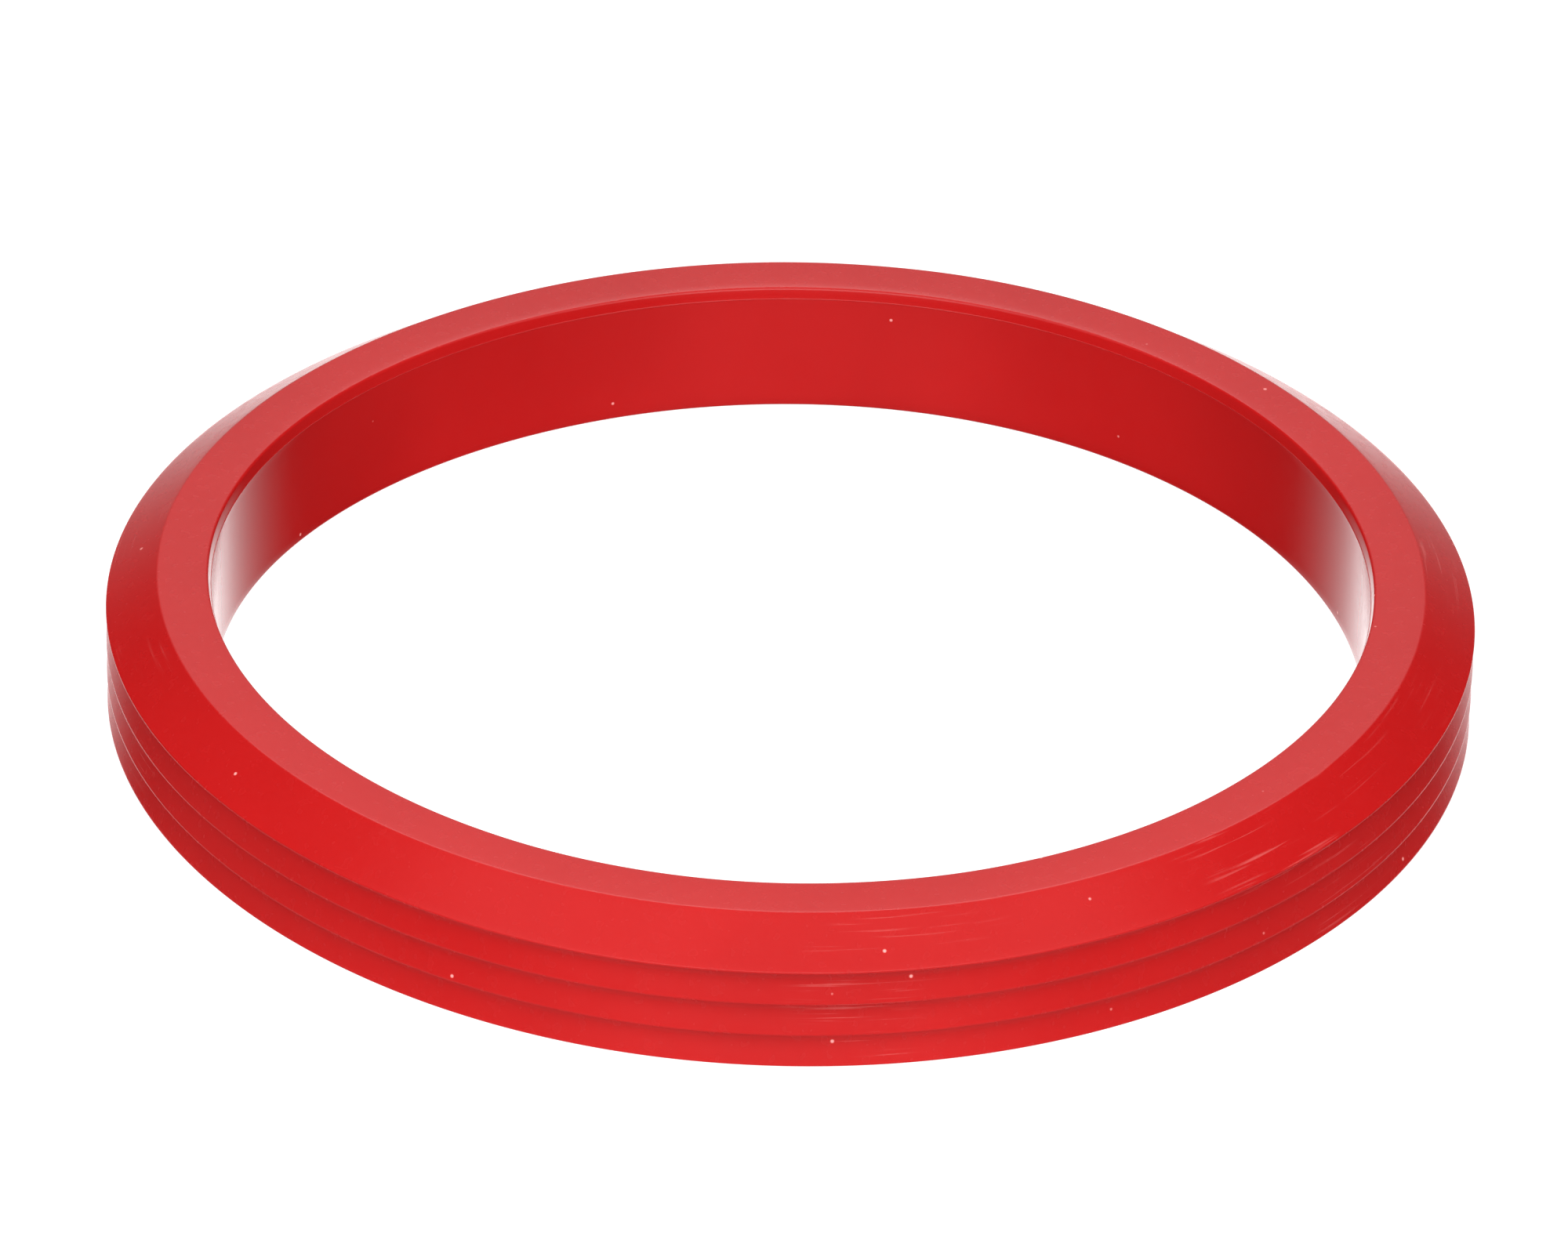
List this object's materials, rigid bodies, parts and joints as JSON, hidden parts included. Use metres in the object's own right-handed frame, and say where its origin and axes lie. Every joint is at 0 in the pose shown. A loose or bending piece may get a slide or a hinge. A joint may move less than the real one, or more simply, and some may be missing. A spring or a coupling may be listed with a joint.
{
  "type": "ribbed sealing ring",
  "caption": "Moulded elastomer sealing ring with a smooth bore, a flat front face, a lead-in cone and saw-tooth ribs round the outside.",
  "frame": {"origin": "centre of the ring on the plane of its base face", "axes": "+Z along the ring's axis, from the base towards the cone and the front face; X and Y are equivalent"},
  "size_m": [0.15, 0.15, 0.0153],
  "materials": {
    "red_elastomer": "smooth moulded satin, opaque red"
  },
  "bodies": {
    "root": {"seal_ring": "red_elastomer"}
  },
  "joints": []
}
